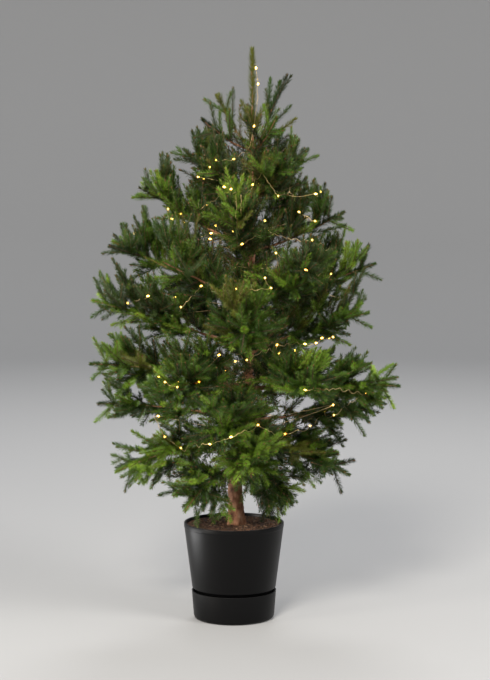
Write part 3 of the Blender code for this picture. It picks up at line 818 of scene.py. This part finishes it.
def makeTwigs():
    young, _ = newMaterial("twigYoung", twigs["young"], 0.70)
    old, _ = newMaterial("twigOld", twigs["old"], 0.80)
    bud, _ = newMaterial("budScales", twigs["bud"], 0.55)
    parts = []
    for fineOnly, sides, every, tint in twigs["tubes"]:
        group = [s for s in shoots if s["order"] > 1 and (s["order"] > 2) == fineOnly]
        lines = np.array([s["line"][::every] for s in group])
        thick = np.array([s["thick"] for s in group])[:, None]
        taper = np.linspace(1.0, twigs["taper"], lines.shape[1])[None]
        parts.append(tubeArrays(lines, thick * taper, sides, tint))
    tips = [s for s in shoots if s["length"] > twigs["budFrom"]
            and (s["order"] > 1 or s["age"] == 0)]
    ends = np.array([s["line"][-1] for s in tips])
    ahead = unit(np.array([s["line"][-1] - s["line"][-2] for s in tips]))
    lines = ends[:, None] + ahead[:, None] * np.array(twigs["budSteps"])[None, :, None]
    parts.append(tubeArrays(lines, np.repeat([twigs["budRadii"]], len(tips), axis=0), 3, 2))
    piece = showParts("twigs", parts, [young, old, bud])
    print("twigs", triangleCount(piece), "triangles")
    return triangleCount(piece)


print("foliage:", makeNeedles() + makeTwigs(), "triangles")

# Bark: trunk and limbs with flakes, collars and a root flare
bark = {
    "colour": (0.16, 0.085, 0.045),
    "sides": 80, "ring": 0.0045,            # height of one ring of the trunk's mesh
    "flareWidth": 0.011, "flareHeight": 0.028, "flareLobes": 5,
    "flakeSize": 0.0095, "flakeDepth": 0.0017,
    "lumps": ((0.0016, 55.0), (0.0007, 210.0)),         # height and fineness
    "collar": 0.0035, "collarHeight": 0.010, "collarTurn": 0.42,    # where a branch leaves
    "limbSides": 8, "limbSteps": 44, "limbRoot": 0.006, "leaderReach": 0.12,
    "boughEnd": 0.0040,                     # radius where the needles of a bough start
    "limbLumps": ((0.14, 160.0), (0.10, 420.0)),        # share of the radius and fineness
}


def flakes(point, size):
    # 0 in the cracks between flakes, up to 1 on them
    near, second = noise.voronoi(point / size)[0][:2]
    return min((second - near) * 2.6, 1.0)


def lumpsAt(spot, lumps):
    return sum(height * noise.noise(spot * fineness) for height, fineness in lumps)


def barkMaterial():
    material, shader = newMaterial("bark", bark["colour"], 0.85)
    colourRamp(material, shader, noiseNode(material, 70.0, 6.0, (1.0, 1.0, 0.55)), (
        (0.28, (0.075, 0.028, 0.014)), (0.44, (0.230, 0.095, 0.047)),
        (0.58, (0.360, 0.175, 0.095)), (0.76, (0.480, 0.300, 0.195))))
    fine = noiseNode(material, 420.0, 5.0, (1.0, 1.0, 0.4))
    roughnessRange(material, shader, fine, 0.70, 0.95)
    bumpNode(material, shader, fine, 0.55, 0.0012)
    return material


def makeTrunkBark(material):
    bottom, top = trunk["line"][0][0], trunk["line"][-1][0]
    sides = bark["sides"]
    rings = int((top - bottom) / bark["ring"])
    points = []
    for i in range(rings + 1):
        height = bottom + (top - bottom) * i / rings
        centre, radius = trunkAt(height)
        flare = bark["flareWidth"] * math.exp(-(height - bottom) / bark["flareHeight"])
        near = [b for b in branches if abs(b["axis"][0].z - height) < 0.03]
        for j in range(sides):
            angle = math.tau * j / sides
            lobe = 0.55 + 0.45 * math.cos(bark["flareLobes"] * angle + 0.6)
            out = Vector((math.cos(angle), math.sin(angle), 0.0))
            spot = centre + out * radius
            reach = radius + flare * lobe + lumpsAt(spot, bark["lumps"])
            reach += bark["flakeDepth"] * (flakes(spot, bark["flakeSize"]) - 0.6)
            for branch in near:
                off = (angle - math.radians(branch["bearing"]) + math.pi) % math.tau - math.pi
                rise = (height - branch["axis"][0].z) / bark["collarHeight"]
                reach += bark["collar"] * math.exp(-(off / bark["collarTurn"]) ** 2 - rise ** 2)
            points.append(centre + out * reach)
    quads = gridQuads(rings + 1, sides)
    mesh = meshFromArrays("trunkBark", np.array(points), quads, smooth=True)
    return showMesh("trunkBark", mesh, [material], ["trunk"])


def makeLimbBark(material):
    # branches from the trunk to their tips, thickest where a bare bough starts
    parts = []
    sides, steps, end = bark["limbSides"], bark["limbSteps"], bark["boughEnd"]
    t = np.linspace(0, 1, steps + 1)
    rows = [(b["axis"], b["reach"], b["hasBough"]) for b in branches]
    for axis, reach, hasBough in rows + [(leader, bark["leaderReach"], False)]:
        line = []
        for i, share in enumerate(t):
            spot, along = pointAlong(axis, share)
            if i == 0:
                spot = spot - along * bark["limbRoot"]
            wobble = Vector([noise.noise(spot * 30.0 + up * shift) for shift in (0, 7, -9)])
            line.append(spot + wobble * 0.003 * min(share * 6, 1.0, (1 - share) * 6))
        line = np.array(line)
        if hasBough:
            root = 0.0015 + 0.0165 * reach
            bare = root + (end - root) * np.clip(t / growth["boughShare"], 0, 1) ** 0.8
            radii = np.where(t < growth["boughShare"], bare, end - 0.0026 * t)
        else:
            radii = (0.0018 + 0.008 * reach) * (1 - 0.62 * t)
        radii = radii * (1 + 0.35 * np.exp(-(t / 0.03) ** 2))
        points, quads, tints = tubeArrays(line[None], radii[None], sides, 0)
        centres = np.repeat(line, sides, axis=0)
        relief = [1 + lumpsAt(Vector(point), bark["limbLumps"]) for point in points]
        parts.append((centres + (points - centres) * np.array(relief)[:, None], quads, tints))
    nodes = [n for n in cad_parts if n.startswith("bough_")]
    return showParts("limbBark", parts, [material], nodes)


barkFinish = barkMaterial()
trunkPiece = makeTrunkBark(barkFinish)
limbPiece = makeLimbBark(barkFinish)
print("bark", triangleCount(trunkPiece), "+", triangleCount(limbPiece), "triangles")

# Pot and saucer
pot = {
    "skirtRadius": 0.1235, "skirtHeight": 0.0925, "footRadius": 0.1105,
    "wall": 0.004, "rimWall": 0.006, "rimBand": 0.012, "innerLip": 0.014, "edge": 0.002,
    "rounding": 0.0016, "sides": 160, "roughness": 0.38,
}
saucer = {"floorRadius": 0.1075, "wall": 0.0045, "foot": 0.012, "rounding": 0.0014,
          "roughness": 0.42}
plastic = {"colour": (0.0022, 0.0022, 0.0024), "gloss": 0.13}


def roundedProfile(corners, radius, steps=4):
    # each inner corner of a line of (radius, height) points as a short arc
    line = [corners[0]]
    for before, here, after in zip(corners, corners[1:], corners[2:]):
        a, b, c = Vector(before), Vector(here), Vector(after)
        size = min(radius, (a - b).length * 0.45, (c - b).length * 0.45)
        start, end = b + (a - b).normalized() * size, b + (c - b).normalized() * size
        for i in range(steps + 1):
            t = i / steps
            line.append(tuple(start * (1 - t) ** 2 + b * (2 * t * (1 - t)) + end * t ** 2))
    return line + [corners[-1]]


def turnedMesh(name, profile, sides):
    data = bmesh.new()
    verts = [data.verts.new((radius, 0.0, height)) for radius, height in profile]
    edges = [data.edges.new((a, b)) for a, b in zip(verts, verts[1:])]
    bmesh.ops.spin(data, geom=verts + edges, cent=(0, 0, 0), axis=up, angle=math.tau,
                   steps=sides, use_merge=True)
    bmesh.ops.remove_doubles(data, verts=data.verts, dist=1e-6)
    bmesh.ops.recalc_face_normals(data, faces=data.faces)
    mesh = bpy.data.meshes.new(name)
    data.to_mesh(mesh)
    data.free()
    mesh.shade_smooth()
    mesh.set_sharp_from_angle(angle=math.radians(40))
    return mesh


def plasticPiece(name, profile, roughness):
    mesh = turnedMesh(name + "Shell", profile, pot["sides"])
    material, shader = newMaterial(name + "Plastic", plastic["colour"], roughness,
                                   plastic["gloss"])
    clouds = noiseNode(material, 9.0, 3.0)
    roughnessRange(material, shader, clouds, roughness - 0.06, roughness + 0.08)
    bumpNode(material, shader, noiseNode(material, 1500.0, 2.0), 0.10, 0.0002)
    return showMesh(name + "Shell", mesh, [material], [name])


def makePot():
    edge = pot["edge"]
    rim, top, foot = potHigh.x, potHigh.z, potLow.z
    inner = rim - pot["rimWall"]
    neck = saucerHigh.z - edge
    footInner = pot["footRadius"] - pot["wall"]
    corners = [
        (0.0, foot), (pot["footRadius"] - edge, foot), (pot["footRadius"] + 2 * edge, neck),
        (pot["skirtRadius"] - 2.5 * edge, pot["skirtHeight"] - 1.6 * edge),
        (pot["skirtRadius"], pot["skirtHeight"]),
        (rim - edge / 2, top - pot["rimBand"] - edge), (rim, top - pot["rimBand"]),
        (rim, top), (inner, top), (inner - edge, top - pot["innerLip"]),
        (pot["skirtRadius"] - pot["wall"] - edge / 2, pot["skirtHeight"]),
        (footInner + 1.5 * edge, neck - edge), (footInner, foot + pot["wall"]),
        (0.0, foot + pot["wall"]),
    ]
    return plasticPiece("pot", roundedProfile(corners, pot["rounding"]), pot["roughness"])


def makeSaucer():
    floor, wall, foot = saucer["floorRadius"], saucer["wall"], saucer["foot"]
    rim, top = saucerHigh.x, saucerHigh.z
    arc = [(floor + foot * math.sin(a), foot - foot * math.cos(a))
           for a in (math.radians(d) for d in range(0, 86, 12))]
    corners = [(rim, top), (rim - wall, top), (floor + foot - wall, foot + 0.004),
               (floor + foot - wall - 0.003, wall), (0.0, wall)]
    profile = [(0.0, 0.0)] + arc + roundedProfile([arc[-1]] + corners, saucer["rounding"])[1:]
    return plasticPiece("saucer", profile, saucer["roughness"])


# Compost: a rough bed, with bark chips and fallen needles on it
compost = {
    "colour": (0.045, 0.026, 0.016),
    "rings": 44, "sides": 150, "relief": 0.0045,
    "radius": potHigh.x - pot["rimWall"] - 0.0013,
    "belowRim": 0.0065, "dip": 0.0025,
    "skirtIn": 0.007, "skirtBottom": 0.045,     # closes the bed's edge, down the pot's wall
    "chips": 620, "litter": 260,
    "chipShades": ((0.038, 0.018, 0.010), (0.105, 0.048, 0.025), (0.180, 0.092, 0.050),
                   (0.250, 0.150, 0.088), (0.105, 0.064, 0.020)),   # the last is litter
    "shadeShares": (4, 5, 3, 1),
    "trunkRoom": 0.030,
}


def ringPoint(radius, angle, z):
    return (radius * math.cos(angle), radius * math.sin(angle), z)


def soilHeight(x, y):
    # heaped nearly to the rim, a little lower at the wall, with lumps
    out = math.hypot(x, y) / compost["radius"]
    base = potHigh.z - compost["belowRim"] - compost["dip"] * max(out - 0.33, 0.0) ** 1.4 * 1.6
    lumps = lumpsAt(Vector((x, y, 0.0)), ((0.6, 60.0), (0.35, 150.0)))
    return base + compost["relief"] * lumps * min(1.0, (1.05 - out) * 6) * 0.8


def makeCompost():
    material, shader = newMaterial("compost", compost["colour"], 0.95)
    colourRamp(material, shader, noiseNode(material, 210.0, 8.0), (
        (0.30, (0.014, 0.007, 0.004)), (0.48, (0.060, 0.027, 0.014)),
        (0.62, (0.130, 0.060, 0.032)), (0.80, (0.260, 0.145, 0.083))))
    bumpNode(material, shader, noiseNode(material, 520.0, 6.0), 0.9, 0.002)
    rings, sides, limit = compost["rings"], compost["sides"], compost["radius"]
    angles = [math.tau * j / sides for j in range(sides)]
    points = []
    for i in range(rings + 1):
        for angle in angles:
            x, y, _ = ringPoint(limit * (i / rings) ** 0.8, angle, 0.0)
            points.append((x, y, soilHeight(x, y)))
    bottom = potHigh.z - compost["skirtBottom"]
    points += [ringPoint(limit - compost["skirtIn"], angle, bottom) for angle in angles]
    quads = gridQuads(rings + 2, sides, flipped=True)
    mesh = meshFromArrays("compostBed", np.array(points), quads, smooth=True)
    return showMesh("compostBed", mesh, [material], ["soil"])


def makeChips():
    rng = random.Random(63)
    materials = [newMaterial(f"chips{i}", shade, 0.85)[0]
                 for i, shade in enumerate(compost["chipShades"])]
    points, faces, tints = [], [], []
    cube = [(x, y, z) for z in (-1, 1) for x, y in ((-1, -1), (1, -1), (1, 1), (-1, 1))]
    sideFaces = np.array([(0, 3, 2, 1), (4, 5, 6, 7), (0, 1, 5, 4), (1, 2, 6, 5), (2, 3, 7, 6),
                          (3, 0, 4, 7)])
    for k in range(compost["chips"] + compost["litter"]):
        isLitter = k >= compost["chips"]
        radius = (compost["radius"] - 0.008) * math.sqrt(rng.random())
        x, y, _ = ringPoint(radius, rng.uniform(0, math.tau), 0.0)
        if math.hypot(x - trunk["line"][0][1], y) < compost["trunkRoom"]:
            continue
        long = rng.uniform(0.004, 0.011)
        half = Vector((long, long * rng.uniform(0.35, 0.7), rng.uniform(0.0010, 0.0028))) * 0.5
        if isLitter:
            half = Vector((rng.uniform(0.008, 0.012), 0.0011, 0.0007)) * 0.5
        tiltX, tiltY = rng.uniform(-0.5, 0.5), rng.uniform(-0.5, 0.5)
        spin = rng.uniform(0, math.tau)
        centre = Vector((x, y, soilHeight(x, y) + half.z * 0.5))
        faces.append(sideFaces + len(points))
        for cx, cy, cz in cube:
            squeeze = 0.72 if cz > 0 else 1.0
            px = cx * half.x * squeeze * rng.uniform(0.8, 1.1)
            py = cy * half.y * squeeze * rng.uniform(0.8, 1.1)
            points.append(centre + Vector((px * math.cos(spin) - py * math.sin(spin),
                                           px * math.sin(spin) + py * math.cos(spin),
                                           cz * half.z + px * tiltX + py * tiltY)))
        shade = 4 if isLitter else rng.choices((0, 1, 2, 3), compost["shadeShares"])[0]
        tints += [shade] * len(sideFaces)
    mesh = meshFromArrays("chips", np.array(points), np.concatenate(faces), np.array(tints))
    return showMesh("barkChips", mesh, materials)


makePot()
makeSaucer()
makeCompost()
print("pot, saucer and compost made, chips", triangleCount(makeChips()), "triangles")

# Fairy lights. The front runs follow the photograph, as pixels with the bulb's kind: 0 is bare
# wire, 1 a warm white bulb and 2 an amber one. Behind the tree they go on round the crown.
lights = {
    "frontRuns": (
        ((256, 68, 1), (258, 84, 1), (257, 104, 0), (254, 126, 1), (250, 146, 0), (234, 159, 1),
         (216, 160, 1), (210, 167, 1), (204, 179, 1), (198, 177, 1)),
        ((168, 209, 1), (172, 219, 1), (181, 214, 1), (184, 222, 1), (205, 205, 0), (231, 189, 1),
         (236, 192, 0), (236, 212, 0), (239, 236, 0), (241, 212, 0), (241, 195, 0), (249, 190, 0),
         (255, 179, 0), (262, 172, 0), (278, 196, 1), (290, 186, 1), (299, 212, 1), (315, 221, 1)),
        ((185, 240, 0), (210, 239, 1), (222, 247, 0), (242, 244, 1), (255, 236, 0), (268, 231, 1),
         (288, 238, 0), (312, 240, 1), (330, 246, 0)),
        ((127, 303, 1), (148, 296, 1), (175, 297, 1), (181, 307, 1), (201, 286, 1), (218, 290, 0),
         (236, 289, 2), (252, 289, 0), (271, 288, 1), (265, 278, 1), (278, 262, 0), (276, 253, 1),
         (292, 262, 0), (306, 270, 2), (331, 274, 1)),
        ((159, 377, 1), (165, 382, 1), (177, 387, 1), (179, 382, 1), (199, 382, 2), (199, 367, 1),
         (219, 355, 1), (235, 350, 0), (247, 360, 1), (262, 351, 0), (277, 345, 1), (297, 342, 0),
         (305, 344, 1), (316, 343, 1), (322, 338, 1), (333, 337, 1)),
        ((158, 424, 0), (165, 437, 1), (181, 448, 1), (195, 443, 0), (210, 444, 1), (231, 437, 1),
         (245, 430, 0), (258, 425, 1), (272, 432, 0), (285, 434, 2), (298, 430, 0), (310, 426, 1),
         (324, 412, 1), (334, 415, 1), (350, 402, 0), (366, 393, 1), (340, 388, 0), (305, 390, 1)),
    ),
    "spacing": 0.095,           # between bulbs round the sides and back
    "proud": 0.012,             # wire and bulbs lie this far in front of the shoot they rest on
    "drape": 0.035,             # wire between two bulbs follows shoots that lie this near to it
    "drapeStep": 7,             # pixels
    "search": (0.006, 0.010, 0.016, 0.026, 0.045, 0.090),   # how far from a line of sight
    "backCentre": 0.05,         # the turns behind go round the trunk here
    "sag": 0.10, "fine": 5,     # of a span, and points on each stretch of wire
    "wireColour": (0.95, 0.70, 0.34), "wireRadius": 0.00058, "wireTwist": 0.9,
    "bulbLength": 0.0074, "bulbRadius": 0.0024, "bulbColour": (1.0, 0.86, 0.62),
    "sleeveLength": 0.0024, "sleeveRadius": 0.0014,
    "glow": 11.0,
    "glowColours": {"bulbWarm": (1.0, 0.61, 0.085), "bulbAmber": (1.0, 0.42, 0.024)},
}


def restingPlace(rests, start, direction):
    # the nearest shoot along a line of sight, a little in front of it
    offsets = rests - start
    along = offsets @ direction
    away = np.linalg.norm(offsets - along[:, None] * direction, axis=1)
    reach = next((r for r in lights["search"] if (away < r).any()), away.min() + 0.001)
    return start + direction * (along[away < reach].min() - lights["proud"])


def drapedRun(rests, run):
    # one front run: its bulbs and waypoints, with the wire laid over the shoots between them
    eye = np.array(camera["place"])
    spots = [restingPlace(rests, *sightLine(px, py)) for px, py, _ in run]
    route = []
    for here, there, (px, py, kind), (nextX, nextY, _) in zip(spots, spots[1:], run, run[1:]):
        route.append((here, kind))
        count = int(math.hypot(nextX - px, nextY - py) / lights["drapeStep"])
        for i in range(1, count):
            t = i / count
            straight = here * (1 - t) + there * t
            laid = restingPlace(rests, *sightLine(px + (nextX - px) * t, py + (nextY - py) * t))
            toStraight = np.linalg.norm(straight - eye)
            nearer = toStraight - np.linalg.norm(laid - eye)
            shift = min(max(nearer, 0.0), lights["drape"])
            route.append((straight + (eye - straight) / toStraight * shift, 0))
    return route + [(spots[-1], run[-1][2])]


def backTurn(rests, here, there, isFirst):
    # bulbs round the back, from the end of one front run to the start of the next
    centre = np.array([lights["backCentre"], 0.0, 0.0])
    fromTurn = math.atan2(here[1] - centre[1], here[0] - centre[0])
    toTurn = math.atan2(there[1], there[0] - centre[0]) % math.tau
    if isFirst:
        fromTurn = fromTurn % math.tau - math.tau
    while toTurn < fromTurn:
        toTurn += math.tau
    radius = math.hypot(here[0] - centre[0], here[1]) + 0.05
    count = max(3, int((toTurn - fromTurn) * max(radius, 0.12) / lights["spacing"]))
    for i in range(1, count):
        turn = fromTurn + (toTurn - fromTurn) * i / count
        height = here[2] + (there[2] - here[2]) * i / count + 0.012 * math.sin(i * 2.1)
        inward = np.array([-math.cos(turn), -math.sin(turn), 0.0])
        outside = centre - inward + np.array([0, 0, height])
        yield restingPlace(rests, outside, inward), 1


def lightRoute(rests):
    # points of the string, each with its bulb's kind, turn by turn down the tree
    runs = lights["frontRuns"]
    route = drapedRun(rests, runs[0])
    for n, run in enumerate(runs[1:]):
        nextStart = restingPlace(rests, *sightLine(*run[0][:2]))
        route += list(backTurn(rests, route[-1][0], nextStart, n == 0))
        route += drapedRun(rests, run)
    return route


def smoothRoute(route):
    # a fine line through the route, sagging between what carries it; and each bulb's place on it
    rng = random.Random(88)
    knots, marks = [], []
    for (a, kind), (b, _) in zip(route, route[1:]):
        span = np.linalg.norm(b - a)
        marks.append((len(knots), kind))
        knots.append(a)
        for t in (0.33, 0.67):
            sag = np.array([0.0, 0.0, -lights["sag"] * span])
            stray = np.array([rng.uniform(-1, 1) for _ in range(3)]) * min(0.004, span * 0.05)
            knots.append(a + (b - a) * t + sag * 4 * t * (1 - t) + stray)
    knots.append(route[-1][0])
    marks.append((len(knots) - 1, route[-1][1]))
    fine = lights["fine"]
    padded = np.array([knots[0]] + knots + [knots[-1]])
    line = []
    for p0, p1, p2, p3 in zip(padded, padded[1:], padded[2:], padded[3:]):
        for j in range(fine):
            t = j / fine
            line.append(0.5 * (2 * p1 + (p2 - p0) * t + (2 * p0 - 5 * p1 + 4 * p2 - p3) * t ** 2
                               + (3 * p1 - p0 - 3 * p2 + p3) * t ** 3))
    line.append(knots[-1])
    return np.array(line), [(index * fine, kind) for index, kind in marks if kind]


def makeWire(line, copper):
    twist = np.arange(len(line)) * lights["wireTwist"]
    _, across, above = (a[0] for a in frames(line[None]))
    radii = np.full((1, len(line)), lights["wireRadius"] * 0.85)
    parts = []
    for phase in (0.0, math.pi):
        offset = across * np.cos(twist + phase)[:, None] + above * np.sin(twist + phase)[:, None]
        strand = line + offset * lights["wireRadius"]
        parts.append(tubeArrays(strand[None], radii, 3, 0))
    return showParts("lightWire", parts, [copper])


def makeBulbs(line, marks, copper):
    glows = []
    for name, colour in lights["glowColours"].items():
        material, shader = newMaterial(name, lights["bulbColour"], 0.12)
        shader.inputs["Emission Color"].default_value = (*colour, 1.0)
        shader.inputs["Emission Strength"].default_value = lights["glow"]
        shader.inputs["Coat Weight"].default_value = 0.6
        glows.append(material)
    tangents = frames(line[None])[0][0]
    turns = np.linspace(0, math.pi, 8)
    bulbRadii = lights["bulbRadius"] * np.sin(turns) ** 0.8 + 0.0001
    sleeveRadii = np.array([0.2, 1.0, 0.8, 0.1]) * lights["sleeveRadius"]
    sleeve = np.array([0.0, 0.2, 1.0, 1.1]) * lights["sleeveLength"] + lights["bulbLength"] * 0.46
    parts = []
    for index, kind in marks:
        shapes = [(-np.cos(turns) * lights["bulbLength"] / 2, bulbRadii, 10, kind - 1),
                  (-sleeve, sleeveRadii, 8, 2), (sleeve, sleeveRadii, 8, 2)]
        for places, radii, sides, tint in shapes:
            spots = line[index] + tangents[index] * places[:, None]
            parts.append(tubeArrays(spots[None], radii[None], sides, tint))
    return showParts("lightBulbs", parts, glows + [copper])


def makeLights():
    # the wire rests on the outer half of the longer shoots
    rests = np.concatenate([s["line"][3:] for s in shoots if s["length"] > 0.03])
    line, marks = smoothRoute(lightRoute(rests))
    copper, shader = newMaterial("lightWire", lights["wireColour"], 0.34)
    shader.inputs["Metallic"].default_value = 0.85
    pieces = makeWire(line, copper), makeBulbs(line, marks, copper)
    length = np.linalg.norm(np.diff(line, axis=0), axis=1).sum()
    print("lights:", len(marks), "bulbs on", round(float(length), 2), "m of wire,",
          triangleCount(*pieces), "triangles")


makeLights()

# Stage: a pale round floor that sweeps up into a wall
stage = {"floorRadius": 7.0, "sweep": 3.0, "wallHeight": 4.5, "below": 0.0002,
         "colour": (0.36, 0.36, 0.365)}

# Studio light: place, aim, size, power and colour of each
studio = {
    "sky": (0.93, 0.96, 1.0), "skyStrength": 0.60,
    "keyLeftFront": ((-1.4, -5.4, 5.0), (0.0, 0.0, 0.8), (1.8, 1.8), 600, (1.0, 0.95, 0.86)),
    # a bright card on the floor beside the picture, which shows as a soft streak on the pot
    "cardLeft": ((-0.98, 0.07, 0.012), (-0.98, 0.07, 1.0), (0.36, 0.50), 20, (1.0, 1.0, 1.0)),
    "lowLeft": ((-3.4, -1.9, 0.75), (0.0, 0.0, 0.50), (0.9, 0.9), 6, (1.0, 0.93, 0.84)),
    "fillRight": ((4.4, -3.2, 3.6), (0.0, 0.0, 0.8), (2.4, 2.4), 250, (1.0, 0.97, 0.92)),
    "topBack": ((0.4, 4.2, 5.2), (0.0, 0.0, 1.0), (2.2, 1.4), 160, (1.0, 1.0, 1.0)),
    "lowSpread": math.radians(40),
}


def makeStage():
    material, shader = newMaterial("stagePaper", stage["colour"], 0.9)
    roughnessRange(material, shader, noiseNode(material, 0.6, 2.0), 0.85, 0.95)
    radius, sweep, below = stage["floorRadius"], stage["sweep"], stage["below"]
    profile = [(0.0, -below), (radius * 0.5, -below)]
    for i in range(13):
        a = math.pi / 2 * i / 12
        profile.append((radius + sweep * math.sin(a), sweep * (1 - math.cos(a)) - below))
    profile.append((radius + sweep, stage["wallHeight"]))
    mesh = turnedMesh("stageSweep", profile, 96)
    mesh.materials.append(material)
    thing = placeThing("stageSweep", mesh)


def areaLight(name):
    place, aim, size, power, colour = studio[name]
    data = bpy.data.lights.new(name, "AREA")
    data.shape = "RECTANGLE"
    data.size, data.size_y = size
    data.energy = power
    data.color = colour
    thing = placeThing(name, data)
    thing.location = place
    thing.rotation_euler = (Vector(aim) - Vector(place)).to_track_quat("-Z", "Y").to_euler()
    return thing


def makeStudioLight():
    world = bpy.data.worlds.new("studio")
    world.use_nodes = True
    background = world.node_tree.nodes["Background"]
    background.inputs["Color"].default_value = (*studio["sky"], 1.0)
    background.inputs["Strength"].default_value = studio["skyStrength"]
    bpy.context.scene.world = world
    bpy.context.scene.view_settings.view_transform = "Standard"
    areaLight("keyLeftFront")
    areaLight("cardLeft").visible_camera = False
    areaLight("lowLeft").data.spread = studio["lowSpread"]
    areaLight("fillRight")
    areaLight("topBack")


makeStage()
makeStudioLight()
print("stage and light set")
